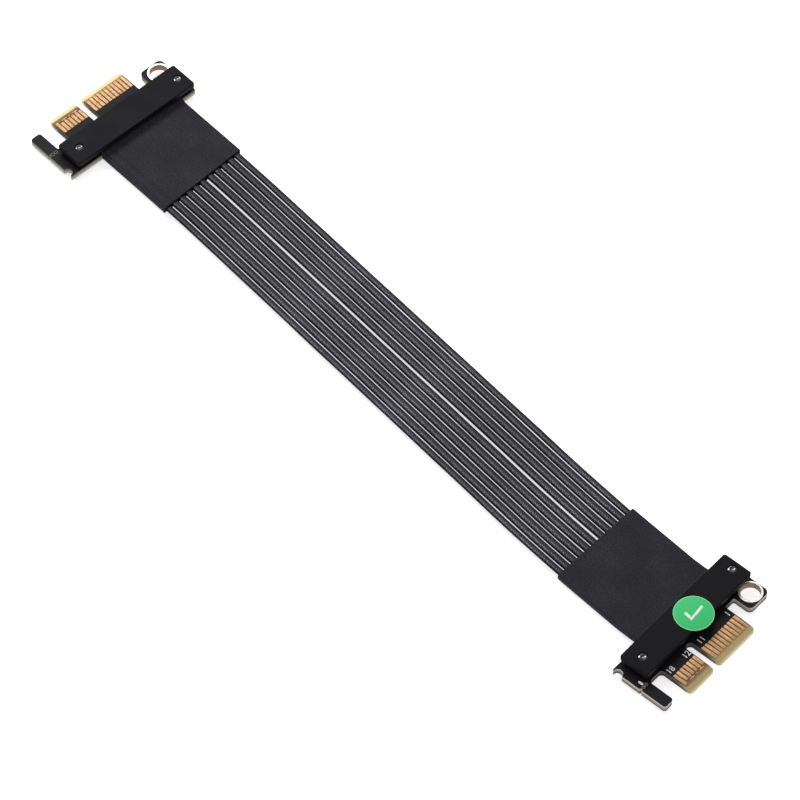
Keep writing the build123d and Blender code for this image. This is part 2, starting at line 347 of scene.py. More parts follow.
def even_line(line, step):
    """The same line with points an even step apart, and the length from its start to each."""
    along = np.concatenate([[0], np.cumsum(np.linalg.norm(np.diff(line, axis=0), axis=1))])
    places = np.linspace(0, along[-1], int(np.ceil(along[-1] / step)) + 1)
    return np.column_stack([np.interp(places, along, line[:, k]) for k in range(3)]), places


def strip_section(width, count=32):
    """The outline of a wrapped pair of cores, as (across, up) in millimetres.

    It is a superellipse: |2x / width| to the power 2.6 plus |2z / height| to the power 2.6 is 1,
    and the height is that of one core, half the width.
    """
    angle = np.arange(count) * 2 * np.pi / count
    x, z = np.cos(angle), np.sin(angle)
    power = 2 / 2.6
    x = np.sign(x) * np.abs(x) ** power * width / 2
    z = np.sign(z) * np.abs(z) ** power * width / 4
    return np.column_stack([x, z])


def waviness(along, seed):
    """Slow wandering of a few hundredths of a millimetre: the sum of three sine waves."""
    chance = np.random.default_rng(seed)
    length, phase = chance.uniform(14, 55, 3), chance.uniform(0, 2 * np.pi, 3)
    waves = np.sin(along[:, None] / MM * 2 * np.pi / length + phase)
    fade = np.clip(np.minimum(along, along[-1] - along) / (25 * MM), 0, 1)
    return waves.mean(1) * fade


def beside_line(line, along, places, x, z):
    """Points at lengths along a level line, x to its left and z above it, all in metres.

    Every argument after the line's own two is an array of the same shape. Beyond either end the
    line goes on straight.
    """
    ahead = unit(np.gradient(line, axis=0))
    inside = np.clip(places, along[0], along[-1])
    on_line = np.stack([np.interp(inside, along, line[:, k]) for k in range(3)], axis=-1)
    way = unit(np.stack([np.interp(inside, along, ahead[:, k]) for k in range(3)], axis=-1))
    points = on_line + way * (places - inside)[..., None]
    points[..., :2] += left_of(way) * x[..., None]
    points[..., 2] += z
    return points.reshape(-1, 3)


print("the middle line has", len(route_line(ribbon_route, "middle")), "points")

# %% Make the eleven strips
strip_places = np.cumsum([0] + [w + g for w, g in zip(strip_widths, strip_gaps + [0])])[:-1]
strip_places = strip_places + np.array(strip_widths) / 2 - ribbon_width / 2
strip_play = 0.01
most_lift, most_shift = 0.05, 0.03
strips = []
for number, (place, width) in enumerate(zip(strip_places, strip_widths), 1):
    line, along = even_line(route_line(beside(ribbon_route, place), "route"), 0.45 * MM)
    section = strip_section(width - strip_play)
    lift = waviness(along, number)[:, None] * most_lift
    shift = waviness(along, 100 + number)[:, None] * most_shift
    count = len(section)
    places = np.repeat(along[:, None], count, axis=1)
    skin = beside_line(line, along, places, (section[:, 0] + shift) * MM, (section[:, 1] + lift) * MM)
    faces = grid_faces(len(line), count, closed=True).tolist()
    faces += [tuple(range(count - 1, -1, -1)), tuple(range(len(skin) - count, len(skin)))]
    round_it = np.concatenate([[0], np.cumsum(np.linalg.norm(np.diff(section, axis=0), axis=1))])
    uvs = np.column_stack([np.repeat(along / MM, count), np.tile(round_it, len(line))])
    strip = add_piece(f"wound_strip_{number:02d}", [(skin, faces)], wrap.material, uvs)
    share = strip.data.attributes.new("across", "FLOAT", "POINT")
    share.data.foreach_set("value", np.tile(section[:, 0] * 2 / width, len(line)))
    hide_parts(f"strip_{number:02d}")
    strips.append(strip)
print("strips", len(strips), "of", triangles(strips[1]), "triangles")
print("the last one is", round(along[-1] / MM, 1), "mm long")

# %% [markdown]
# At each end a wrap of black cloth tape gathers the strips. A tape pulled over ridges follows
# them a little, so the first end's sleeve has faint ribs. Its cut end runs slightly askew, as
# hand-laid tape does. Toward the card the wrap climbs over the rising cores and ends under the
# plate.
#
# A cloth simulation could lay the tape over the strips, but its folds would be too small to see.
# One rounded section does it all: its height changes along the way, and the length at which it
# ends changes across the ribbon.

# %% The cloth of the sleeves
cloth = Finish("cloth_tape", roughness=0.85, specular=0.08)
warp = cloth.node("ShaderNodeTexWave", {"Vector": cloth.place(source="UV", turn=0.1), "Scale": 1.3,
                                        "Distortion": 1.5, "Detail": 2.0}, bands_direction="X")
weft = cloth.node("ShaderNodeTexWave", {"Vector": cloth.place(source="UV", turn=0.1), "Scale": 1.3,
                                        "Distortion": 1.5, "Detail": 2.0}, bands_direction="Y")
weave = cloth.math("MULTIPLY", warp.outputs[1], weft.outputs[1])
lint = cloth.noise(cloth.place(source="UV", scale=(1.4, 1.4, 1)), 2.0, 5.0)
worn_cloth = cloth.noise(cloth.place(source="UV", scale=(0.12, 0.12, 1)), 1.0, 2.0)
thread = cloth.math("ADD", cloth.math("MULTIPLY", weave, 0.25), cloth.math("MULTIPLY", lint, 0.75))
thread = cloth.math("MULTIPLY_ADD", cloth.math("SUBTRACT", worn_cloth, 0.5), 0.35, thread)
cloth.colour(
    cloth.ramp(thread, [(0.15, shade(29, 28, 32)), (0.45, shade(44, 43, 48)), (0.8, shade(69, 67, 74))])
)
cloth.bump(thread, 0.00005, 0.6)
print("cloth finish", cloth.material.name)

# %% Make the two sleeves
sleeve_wall = 0.4
sleeve_edge = 0.5
sleeve_clearance = 0.03
strip_thickness = 0.89
# Lengths of the open end's hook side and tab side from the strips' free ends
sleeve_cuts = {"a": (19.35, 17.9), "b": (20.9, 22.3)}
# The wrap's lower half ends short of the card and its upper half lies on the cores
lower_tail, upper_tail = 1.2, 1.65
tail_height = 1.45
climb_length = 0.95
sleeve_corner = 0.42
# How far the tape follows the strips, and how far in from the hook side the ribs reach
tape_ripple = 0.01
rib_height = {"a": 0.17, "b": 0.0}
rib_reach = 3.2
half_pitch = 1.02


def rounded_ring(width, height, radius, ripple=0.0, ribs=0.0, count=240):
    """A rounded rectangle as (across, up), its flat sides rippled by the strips beneath.

    Along the long sides a cosine raises the height over each strip's middle and lowers it over
    each gap. The ribs add to it near the hook side, where the tape was pulled tightest, and fade
    like a bell curve.
    """
    short, long = height / 2 - radius, width / 2 - radius
    quarter = np.linspace(0, np.pi / 2, 9)
    arc = np.column_stack([np.cos(quarter), np.sin(quarter)]) * radius
    flat = np.linspace(long, -long, count)[:, None]
    top = np.hstack([flat, np.full_like(flat, height / 2)])
    left = np.column_stack([-arc[::-1, 0], arc[::-1, 1]]) + (-long, short)
    upper = np.vstack([arc + (long, short), top[1:-1], left])
    ring = np.vstack([upper, -upper])
    near = np.abs(ring[:, :1] - strip_places)
    nearest = near.min(1)
    tight = ripple + ribs * np.exp(-(((ring[:, 0] + width / 2) / rib_reach) ** 2))
    hump = tight * np.cos(np.clip(nearest / half_pitch, 0, 1) * np.pi)
    inside = (np.abs(ring[:, 0]) < long) & (np.abs(ring[:, 0]) < ribbon_width / 2)
    ring[:, 1] += np.where(inside, np.sign(ring[:, 1]) * hump, 0)
    return ring


def climb(places):
    """How far the upper half of the sleeve is lifted over the cores, in millimetres.

    It is nothing over the strips, and toward the card it grows along the S of a smoothstep,
    3t^2 - 2t^3.
    """
    t = np.clip(-places / climb_length, 0, 1)
    return (tail_height - strip_thickness / 2 - sleeve_wall) * (3 * t**2 - 2 * t**3)


def sleeve_surface(end):
    """(points, faces, UV) of one sleeve: an outer and an inner tube joined at both rims.

    A ring's place along the ribbon goes, by shares from 0 to 1, from minus the tail at the card
    to the cut at the open end.
    """
    outer = rounded_ring(ribbon_width + 2 * sleeve_edge, strip_thickness + 2 * sleeve_wall,
                         sleeve_corner, tape_ripple, rib_height[end])
    inner = rounded_ring(ribbon_width + 2 * sleeve_clearance,
                         strip_thickness + 2 * sleeve_clearance, 0.1)
    line = middle if end == "a" else middle[::-1]
    hand = 1 if end == "a" else -1
    shares = np.concatenate([np.linspace(0, 0.06, 14)[:-1], np.linspace(0.06, 0.995, 56),
                             [0.998, 1.0]])
    hook_cut, tab_cut = sleeve_cuts[end]
    cuts = hook_cut + (tab_cut - hook_cut) * (outer[:, 0] / outer[:, 0].max() + 1) / 2
    tails = np.where(outer[:, 1] > 0, upper_tail, lower_tail)
    places = -tails + shares[:, None] * (cuts + tails)
    skins = []
    for ring in (outer, inner):
        height = ring[:, 1] + np.where(ring[:, 1] > 0, climb(places), 0)
        x = np.repeat(ring[None, :, 0] * hand, len(shares), axis=0)
        skins.append(beside_line(line, middle_along, places * MM, x * MM, height * MM))
    rows, count = len(shares), len(outer)
    outer_faces = grid_faces(rows, count, closed=True)
    inner_faces = grid_faces(rows, count, closed=True, first=rows * count)[:, ::-1]
    k = np.arange(count)
    k_next = (k + 1) % count
    tail = (rows - 1) * count
    start_rim = np.column_stack([k_next, k, k + rows * count, k_next + rows * count])
    end_rim = np.column_stack([k, k_next, k_next + rows * count, k + rows * count]) + tail
    faces = np.vstack([outer_faces, inner_faces, start_rim, end_rim])[:, ::hand].tolist()
    outline = np.concatenate([[0], np.cumsum(np.linalg.norm(np.diff(outer, axis=0), axis=1))])
    uvs = np.column_stack([places.ravel(), np.tile(outline, rows)])
    return np.vstack(skins), faces, np.vstack([uvs, uvs])


middle, middle_along = even_line(route_line(beside(ribbon_route, 0), "middle"), 0.35 * MM)
sleeves = []
for end in ("a", "b"):
    points, faces, uvs = sleeve_surface(end)
    sleeve = add_piece(f"cloth_sleeve_{end}", [(points, faces)], cloth.material, uvs)
    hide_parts(f"sleeve_{end}")
    sleeves.append(sleeve)
print("sleeves", len(sleeves), "of", triangles(sleeves[0]), "triangles")

# %% [markdown]
# The card is a glass-fibre board. Its faces are black with solder mask, except on the two
# tongues, where the bare board shows between and beyond the contacts, brown and then olive. The
# outer edges are beige with the layers of glass cloth in them. Painted light makes them paler
# toward the card's underside and darker toward its top, and painted shade darkens the notches.
#
# The measured card already has the right outline, bevels and holes, so it keeps its mesh. The
# finish reads Object coordinates, turned into the card's own u, v and w, and picks the look
# by where a point lies: on a face or an edge, before or beyond the end of the mask.

# %% The board of the cards
mask_end = 2.75
contact_length = 3.7
tongue_depth = 8.0
tongue_right, tongue_left = 12.15, -8.15
bevel_length = 1.3
bore_u, bore_v = 18.45, 1.6
bore_radius = 2.15
# Colours of the bare tip and its rim, with painted light: the first end lies in stronger light, so its
# colours are painted paler
lit_tip_colours = {
    "a": (shade(228, 208, 162), shade(252, 247, 230)),
    "b": (shade(178, 158, 114), shade(216, 206, 168)),
}


def card_axes(board, end):
    """Object coordinates turned into the card's own, in millimetres: all three, u, v and w."""
    origin, across = ends[end][:2]
    angle = float(np.arctan2(across[1], across[0]))
    coordinates = board.node("ShaderNodeTexCoord").outputs["Object"]
    moved = board.node("ShaderNodeVectorMath", {0: coordinates, 1: (*(origin * MM), middle_z * MM)},
                       operation="SUBTRACT").outputs[0]
    # Turning by minus the card's own angle lays u along X; v is then along plus or minus Y
    local = board.node("ShaderNodeVectorRotate", {"Vector": moved, "Angle": -angle},
                       rotation_type="Z_AXIS").outputs[0]
    in_mm = board.node("ShaderNodeVectorMath", {0: local, "Scale": 1 / MM},
                       operation="SCALE").outputs[0]
    split = board.node("ShaderNodeSeparateXYZ", {0: in_mm})
    v = board.math("MULTIPLY", split.outputs[1], 1.0 if end == "a" else -1.0)
    return in_mm, split.outputs[0], v, split.outputs[2]


def away_from(board, value, middle):
    """The distance of a value from a middle, whichever side it lies on."""
    return board.math("ABSOLUTE", board.math("SUBTRACT", value, middle))


def face_look(board, end, v, beyond, grain, cloud):
    """The mask, and past its end the bare board: brown, then olive, and pale at the rim."""
    share = board.math("DIVIDE", v, 10.0)
    uneven = board.math("ADD", share, board.math("MULTIPLY", board.math("SUBTRACT", cloud, 0.5), 0.03))
    # The tip colours have painted light in them, paler at the first end
    olive, rim = lit_tip_colours[end]
    bare = board.ramp(
        uneven,
        [(0.27, shade(58, 36, 24)), (0.55, shade(80, 52, 32)), (0.645, shade(128, 96, 62)),
         (0.69, olive), (0.755, olive), (0.80, rim)],
    )
    bare = board.mix(board.math("MULTIPLY", grain, 0.2), bare, shade(206, 196, 156))
    mask = board.mix(board.math("MULTIPLY", grain, 0.5), shade(20, 19, 23), shade(38, 37, 42))
    return board.mix(beyond, mask, bare)


def edge_look(board, end, axes, grain):
    """Cut edges: layers of glass cloth, painted light that makes them pale below and dark above,
    painted shade in the notches, brown in the bore.
    """
    in_mm, u, v, w = axes
    layers = board.node("ShaderNodeTexWave", {"Vector": in_mm, "Scale": 1.3, "Distortion": 1.5},
                        bands_direction="Z").outputs[1]
    # Painted light: the edge is painted pale at the card's underside and darker toward its top face
    level = board.math("MULTIPLY_ADD", w, ends[end][3] / card_thickness, 0.5)
    cut = board.ramp(level, [(0.0, shade(226, 222, 212)), (0.35, shade(176, 170, 154)),
                             (0.7, shade(132, 124, 106)), (0.95, shade(66, 60, 52))])
    cut = board.mix(board.math("MULTIPLY", layers, 0.25), cut, shade(96, 88, 72))
    cut = board.mix(board.math("MULTIPLY", grain, 0.35), cut, shade(84, 76, 60))
    # Painted shade darkens the notch walls, where little light reaches. The notches lie low on the card
    # and near its middle
    far_v = board.math("DIVIDE", away_from(board, v, 1.2), 10.0)
    far_u = board.math("DIVIDE", away_from(board, u, 1.2), 20.0)
    low_v = board.ramp(far_v, [(0.3, 1.0), (0.52, 0.0)])
    inner_u = board.ramp(far_u, [(0.62, 1.0), (0.68, 0.0)])
    notch_shade_mask = board.math("MULTIPLY", low_v, inner_u)
    cut = board.mix(board.math("MULTIPLY", notch_shade_mask, 0.8), cut, shade(30, 24, 20))
    # The bore is where the square of the distance from its axis is small
    from_u = board.math("SUBTRACT", u, bore_u)
    from_v = board.math("SUBTRACT", v, bore_v)
    squared = board.math("MULTIPLY_ADD", from_v, from_v, board.math("MULTIPLY", from_u, from_u))
    in_bore = board.math("LESS_THAN", squared, (bore_radius + 0.2) ** 2)
    copper = board.mix(board.math("MULTIPLY", layers, 0.6), shade(150, 112, 84), shade(206, 176, 144))
    return board.mix(in_bore, cut, copper)


def board_finish(end):
    """Mask, bare tip and cut edges of the card at one end."""
    board = Finish(f"board_{end}", roughness=0.45, specular=0.06)
    in_mm, u, v, w = card_axes(board, end)
    grain = board.noise(in_mm, 1.7, 5.0)
    cloud = board.noise(in_mm, 0.35, 2.0)
    # Only the tongues are bare: u between their outer sides, v beyond the end of the mask
    off_middle = away_from(board, u, (tongue_right + tongue_left) / 2)
    on_tongue = board.math("LESS_THAN", off_middle, (tongue_right - tongue_left) / 2 + 0.1)
    beyond = board.math("MULTIPLY", board.math("GREATER_THAN", v, mask_end), on_tongue)
    # A point is on a face when it is as high as the face, or on the bevel of a tip
    flat = board.math("GREATER_THAN", board.math("ABSOLUTE", w), half_card - 0.012)
    on_bevel = board.math("GREATER_THAN", v, tongue_depth - bevel_length)
    on_face = board.math("MAXIMUM", flat, board.math("MULTIPLY", on_bevel, on_tongue))
    face = face_look(board, end, v, beyond, grain, cloud)
    cut = edge_look(board, end, (in_mm, u, v, w), grain)
    board.colour(board.mix(on_face, cut, face))
    board.roughness(board.ramp(beyond, [(0.0, 0.42), (1.0, 0.5)]))
    board.bump(grain, 0.00002, 0.5)
    return board.material


for end in ("a", "b"):
    dress(f"card_{end}", board_finish(end))

# %% [markdown]
# Small flat plates come next: contacts, their tracks and the sticker. Real ones never have a
# sharp rim. Each is a rounded outline shrunk step by step while it rises, so the rim turns
# over in a small quarter circle before the flat top.

# %% Plates with a rounded rim


def rounded_outline(width, length, radius, count=5):
    """Points round a rectangle whose corners are quarter circles, anticlockwise."""
    quarter = np.linspace(0, np.pi / 2, count)
    corners = [(1, 1, 0), (-1, 1, 1), (-1, -1, 2), (1, -1, 3)]
    arcs = [
        np.column_stack([np.cos(quarter + k * np.pi / 2), np.sin(quarter + k * np.pi / 2)]) * radius
        + (sx * (width / 2 - radius), sy * (length / 2 - radius))
        for sx, sy, k in corners
    ]
    return np.vstack(arcs)


def rimmed_plate(outline, thickness, rim, steps=4):
    """(points, faces) of a plate whose top rim is rounded, standing on height 0.

    Ring i is the outline moved inwards by rim times one minus the cosine of an angle and raised
    by rim times its sine, and the last ring is closed by one flat face.
    """
    middle_of_it = outline.mean(0)
    reach = outline - middle_of_it
    size = np.abs(reach).max(0)
    angle = np.linspace(0, np.pi / 2, steps)
    inset = np.concatenate([[0], rim * (1 - np.cos(angle))])
    height = np.concatenate([[0], thickness - rim + rim * np.sin(angle)])
    shrink = 1 - inset[:, None] / size
    rings = middle_of_it + reach[None] * shrink[:, None, :]
    heights = np.broadcast_to(height[:, None, None], (*rings.shape[:2], 1))
    points = np.concatenate([rings, heights], axis=-1).reshape(-1, 3)
    count = len(outline)
    faces = grid_faces(len(height), count, closed=True).tolist()
    faces.append(tuple(range(len(points) - count, len(points))))
    faces.append(tuple(range(count - 1, -1, -1)))
    return points, faces


def on_side(end, side, plate, u=0.0, v=0.0, height=half_card):
    """A plate set on one face of a card, with its faces turned outwards."""
    points, faces = plate
    placed = points + (u, v, 0)
    placed[:, 2] = side * (height + placed[:, 2])
    origin, across, outward, up = ends[end]
    handed = np.cross([*across, 0], [*outward, 0])[2] * up * side
    if handed < 0:
        faces = [tuple(reversed(f)) for f in faces]
    return on_card(end, placed), faces


print("a plate has", len(rimmed_plate(rounded_outline(1, 2, 0.1), 0.05, 0.02)[0]), "points")

# %% [markdown]
# A contact is copper with a thin layer of gold. Sliding in a socket wears fine lines along it,
# so one noise is drawn out along the contacts and added to an even one, and the sum drives the
# colour, the gloss and the relief together. The small bars, legs and dot beyond the short row
# are tracks of the same metal.

# %% The gold of the contacts
gold = Finish("contact_gold", roughness=0.4, metallic=0.2, specular=0.3)
spread = gold.noise(gold.place(scale=(900, 900, 900)), 1.0, 3.0)
streak = gold.noise(gold.place(turn=-0.08, scale=(200, 4200, 400)), 1.0, 2.0)
worn = gold.math("ADD", gold.math("MULTIPLY", spread, 0.5), gold.math("MULTIPLY", streak, 0.5))
gold.colour(
    gold.ramp(worn, [(0.3, shade(156, 112, 72)), (0.5, shade(188, 142, 96)),
                     (0.7, shade(216, 172, 126))])
)
gold.roughness(gold.ramp(worn, [(0.3, 0.5), (0.7, 0.36)]))
gold.bump(worn, 0.000008, 0.5)
print("gold finish", gold.material.name)

# %% Make the contacts and the small tracks at their ends
contact_pitch = 1.0
contact_width = 0.7
contact_thickness = 0.05
first_contact = 1.5
short_contact_length = 2.7
last_contact_length = 3.3
long_row = [(first_contact + i * contact_pitch, contact_length) for i in range(11)]
short_row = [(-first_contact - i * contact_pitch, short_contact_length) for i in range(7)]
short_row[-1] = (short_row[-1][0], last_contact_length)
contact_corner = 0.13
contact_rim = 0.022
track = 0.24
track_rim = 0.02
cross_bar = 1.3
bar_v = 5.88
dot_width = 0.3


def contact_row(end, side):
    """The contacts of one face, with the bars, their legs and the dot beyond the short ones."""
    parts = []
    for u, length in long_row + short_row:
        outline = rounded_outline(contact_width, length, contact_corner)
        plate = rimmed_plate(outline, contact_thickness, contact_rim)
        parts.append(on_side(end, side, plate, u, mask_end + length / 2))
    for number in (1, 4):
        u = short_row[number][0]
        stem = bar_v - mask_end - short_contact_length + 0.1
        bar = rimmed_plate(rounded_outline(cross_bar, track, 0.08), contact_thickness, track_rim)
        # The leg is a little lower than the bar that it runs into
        leg = rimmed_plate(rounded_outline(track, stem, 0.05), contact_thickness * 0.96, track_rim)
        parts.append(on_side(end, side, bar, u, bar_v))
        parts.append(on_side(end, side, leg, u, bar_v - stem / 2))
    dot = rimmed_plate(rounded_outline(dot_width, dot_width, 0.14), contact_thickness, track_rim)
    parts.append(on_side(end, side, dot, (short_row[2][0] + short_row[3][0]) / 2, bar_v))
    return parts


for end in ("a", "b"):
    for name, side in (("top", ends[end][3]), ("bottom", -ends[end][3])):
        row = add_piece(f"gold_contacts_{name}_{end}", contact_row(end, side), gold.material)
        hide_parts(f"contacts_{name}_{end}")
print("contacts a row", len(long_row) + len(short_row), "triangles", triangles(row))

# %% [markdown]
# The fixing hole has a tinned ring on each face, and rims of bare board line the perforation
# where the hook can be broken off. Rings and rivets are turned shapes: a short profile carried
# round an axis.

# %% Turn a profile round an axis


def turned(profile, count=48, part=1.0, solid=False):
    """(points, faces) of a profile of (radius, height) carried round the Z axis.

    A ring's profile runs from the outside bottom over the top and back, and its last point joins
    its first. A solid's runs from its base to its top, and each end is closed by a flat face. A
    part below 1 leaves an open arc.
    """
    full = part == 1.0
    angle = np.linspace(-np.pi * part, np.pi * part, count, endpoint=not full)
    circle = np.column_stack([np.cos(angle), np.sin(angle)])
    radius, height = np.asarray(profile, float).T
    rings = radius[:, None, None] * circle[None]
    heights = np.broadcast_to(height[:, None, None], (*rings.shape[:2], 1))
    points = np.concatenate([rings, heights], axis=-1).reshape(-1, 3)
    rows = len(radius)
    if solid:
        faces = grid_faces(rows, count, closed=True).tolist()
        return points, faces + [tuple(range(count - 1, -1, -1)),
                                tuple(range((rows - 1) * count, rows * count))]
    faces = grid_faces(rows + 1, count, closed=full) % (rows * count)
    faces = faces.tolist()
    if not full:
        first = np.arange(rows) * count
        faces += [tuple(first), tuple((first + count - 1)[::-1])]
    return points, faces


def ring_profile(inner, outer, thickness, rim):
    """A flat ring's closed profile with both top rims rounded."""
    angle = np.linspace(0, np.pi / 2, 5)
    over = np.column_stack([outer - rim + rim * np.cos(angle), thickness - rim + rim * np.sin(angle)])
    back = np.column_stack([inner + rim - rim * np.sin(angle), thickness - rim + rim * np.cos(angle)])
    return np.vstack([[(outer, 0)], over, back, [(inner, 0)]])


print("a ring's profile has", len(ring_profile(2.15, 2.65, 0.05, 0.02)), "points")

# %% The metal of the rings and the bare board of the rims
tin = Finish("tinned_ring", roughness=0.35, metallic=0.5, specular=0.5)
dull = tin.noise(tin.place(scale=(1400, 1400, 1400)), 1.0, 4.0)
bright = tin.ramp(dull, [(0.3, shade(190, 189, 187)), (0.7, shade(232, 231, 229))])
from_axis = tin.node("ShaderNodeVectorMath", {0: tin.place(source="UV")},
                     operation="LENGTH").outputs["Value"]
lip = tin.ramp(tin.math("SUBTRACT", from_axis, 2.0),
               [(0.16, 1.0), (0.24, 0.0), (0.6, 0.0), (0.66, 0.45)])
tin.colour(tin.mix(lip, bright, shade(96, 88, 80)))
tin.roughness(tin.ramp(dull, [(0.3, 0.42), (0.7, 0.28)]))
tin.bump(dull, 0.000012, 0.6)
bare_rim = Finish("bare_rim", roughness=0.6, specular=0.3)
bare_rim.speckled(4000, (70, 60, 46), (140, 130, 108), 0.00001, 0.6)
print("ring finishes", tin.material.name, bare_rim.material.name)

# %% Make the rings
ring_radius = 2.65
ring_thickness = 0.05
hook_left = -14.7
hook_width = 2.7
break_hole_count = 3
break_bore, break_rim = 0.27, 0.42
fixing_ring = turned(ring_profile(bore_radius, ring_radius, ring_thickness, 0.02), 72)
for end in ("a", "b"):
    tinned = []
    small = []
    for side in (1, -1):
        tinned.append(on_side(end, side, fixing_ring, bore_u, bore_v))
        for i in range(break_hole_count):
            # The first hole is cut through by the hook's outer side, so its rim is half a ring
            hole_u = hook_left + i * hook_width / break_hole_count
            part = 0.5 if i == 0 else 1.0
            ring = turned(ring_profile(break_bore, break_rim, 0.02, 0.008), 28, part)
            small.append(on_side(end, side, ring, hole_u, 0))
    ring = add_piece(f"tinned_rings_{end}", tinned, tin.material,
                     np.vstack([fixing_ring[0][:, :2]] * 2))
    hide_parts(f"hole_rings_{end}")
    add_piece(f"break_rings_{end}", small, bare_rim.material)
print("rings", triangles(ring), "triangles")

# %% [markdown]
# The cover plates are moulded in black plastic with a fine matt grain. They keep the measured
# mesh, whose rims are already rounded. The rivets through them are glossy, with a dimple left
# by the tool that set them, so they are turned again here with soft rims that catch the light.
# Each rivet is one profile from the dimple down to the wide foot that the part stands on.

# %% The plastic of the cover plates
plastic = Finish("cover_plastic", roughness=0.5, specular=0.045)
pitted = plastic.noise(plastic.place(scale=(2600, 2600, 2600)), 1.0, 4.0)
patchy = plastic.noise(plastic.place(scale=(160, 160, 160)), 1.0, 3.0)
plastic.colour(
    plastic.mix(plastic.math("MULTIPLY", patchy, 0.6), shade(17, 17, 19), shade(31, 31, 34))
)
plastic.roughness(plastic.ramp(patchy, [(0.3, 0.42), (0.7, 0.56)]))
plastic.bump(pitted, 0.000025, 0.5)
dress("cover_", plastic.material)

# %% Make the rivets
rivet_us = (-9.4, 19.1)
rivet_v = -3.925
cover_gap = 1.15
cover_thickness = 1.2
cover_top = half_card + cover_gap + cover_thickness
rivet_gloss = Finish("rivet_gloss", roughness=0.1, specular=1.0)
smudge = rivet_gloss.noise(rivet_gloss.place(scale=(1800, 1800, 1800)), 1.0, 3.0)
rivet_gloss.colour(rivet_gloss.mix(smudge, shade(14, 14, 16), shade(30, 30, 33)))
rivet_gloss.roughness(rivet_gloss.ramp(smudge, [(0.3, 0.07), (0.7, 0.14)]))
rivet_gloss.bump(smudge, 0.000006, 0.2)


def rivet_profile():
    """A rivet from its foot up the shaft and over the head into the dimple.

    The head is a low ridge, a cone rising inwards and another falling to the dimple. Both slope
    by about twenty degrees, so each shines as a crescent at one side.
    """
    top, head, shaft, radius = cover_top - 0.05, 0.3, 0.7, 0.98
    low, foot, foot_rim = -half_card - foot_height, 1.5, 0.16
    angle = np.linspace(0, np.pi / 2, 9)
    base = [(0.3, low), (foot - 0.03, low), (foot, low + 0.03)]
    round_foot = np.column_stack([foot - foot_rim + foot_rim * np.cos(angle),
                                  -half_card - foot_rim + foot_rim * np.sin(angle)])
    under = [(shaft, -half_card), (shaft, top - head), (radius, top - head), (radius, top - 0.17)]
    slope = np.tan(np.radians(20))
    rising = np.linspace(radius - 0.02, 0.64, 6)
    falling = np.linspace(0.58, 0.24, 6)
    rise = np.column_stack([rising, top - (rising - 0.64) * slope])
    fall = np.column_stack([falling, top - (0.58 - falling) * slope])
    floor_of_it = [(0.18, top - 0.132), (0.03, top - 0.135)]
    return np.vstack([base, round_foot, under, rise, [(0.61, top + 0.005)], fall, floor_of_it])


for end in ("a", "b"):
    pair = [
        on_side(end, ends[end][3], turned(rivet_profile(), 40, solid=True), u, rivet_v, height=0.0)
        for u in rivet_us
    ]
    rivets = add_piece(f"dimpled_rivets_{end}", pair, rivet_gloss.material)
    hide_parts(f"rivets_{end}")
print("rivets", triangles(rivets), "triangles")

# %% [markdown]
# Under the plates lie the soldered cores and a strip of foam. Little of them shows from this
# camera, but each gets its own finish on the measured mesh.

# %% Solder, cores and foam
solder = Finish("solder", roughness=0.35, metallic=0.8)
solder.speckled(1500, (150, 151, 154), (206, 207, 210), 0.00003, 0.6)
core_skin = Finish("core_insulation", roughness=0.4)
core_skin.speckled(2000, (32, 32, 35), (62, 62, 66), 0.00001, 0.5, detail=3.0)
sponge = Finish("foam", roughness=0.95, specular=0.2)
cells = sponge.node("ShaderNodeTexVoronoi", {"Vector": sponge.place(scale=(3500, 3500, 3500)),
                                             "Scale": 1.0}).outputs[0]
sponge.colour(sponge.ramp(cells, [(0.1, shade(16, 16, 17)), (0.7, shade(44, 44, 46))]))
sponge.bump(cells, 0.00008, 0.9)
dress("solder_", solder.material)
dress("cores_", core_skin.material)
dress("foam_", sponge.material)
for end in ("a", "b"):
    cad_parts[f"cores_{end}"].data.shade_smooth()

# %% [markdown]
# A round sticker hangs over the front of the second end's plate. It is green with a pale rim
# and carries a plain tick. The rim is part of the finish, worked out from the distance to the
# sticker's middle on its UV map, and the tick is a thin printed shape on top.

# %% Make the sticker
sticker_radius = 4.25
sticker_overhang = 1.7
cover_setback = 0.3
sticker_u = 5.4
sticker_v = -cover_setback + sticker_overhang - sticker_radius
paper = Finish("green_paper", roughness=0.5, specular=0.15)
out = paper.node("ShaderNodeVectorMath", {0: paper.place(source="UV")},
                 operation="LENGTH").outputs["Value"]
fibre = paper.noise(paper.place(source="UV"), 3.0, 5.0)
green = paper.mix(paper.math("MULTIPLY", fibre, 0.5), shade(50, 186, 104), shade(80, 214, 134))
pale_rim = paper.math("GREATER_THAN", out, sticker_radius * 0.955)
paper.colour(paper.mix(paper.math("MULTIPLY", pale_rim, 0.55), green, shade(176, 226, 188)))
paper.bump(fibre, 0.00001, 0.4)
angle = np.arange(96) * 2 * np.pi / 96
circle = np.column_stack([np.cos(angle), np.sin(angle)]) * sticker_radius
sticker_thickness = 0.11
disc = rimmed_plate(circle, sticker_thickness, 0.04)
on_cover = on_side("b", -1, disc, sticker_u, sticker_v, cover_top)
sticker = add_piece("round_sticker", [on_cover], paper.material, disc[0][:, :2])
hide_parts("sticker")
print("sticker", triangles(sticker), "triangles")

# %% The tick on the sticker
ink = Finish("pale_ink", roughness=0.5)
ink.speckled(3000, (196, 226, 204), (240, 250, 242), 0.000004, 0.4, to=0.6)


def flat_print(outline, thickness=0.012):
    """A flat printed shape from its outline, taken anticlockwise."""
    count = len(outline)
    points = np.vstack([np.column_stack([outline, np.zeros(count)]),
                        np.column_stack([outline, np.full(count, thickness)])])
    faces = grid_faces(2, count, closed=True).tolist()
    return points, faces + [tuple(range(count, 2 * count)), tuple(range(count - 1, -1, -1))]


def stroke_outline(corners, width):
    """The outline of a bent stroke: its corners moved half the width to each side."""
    corners = np.array(corners, float)
    half = (beside(corners, width / 2), beside(corners, -width / 2))
    return np.vstack([half[1], half[0][::-1]])


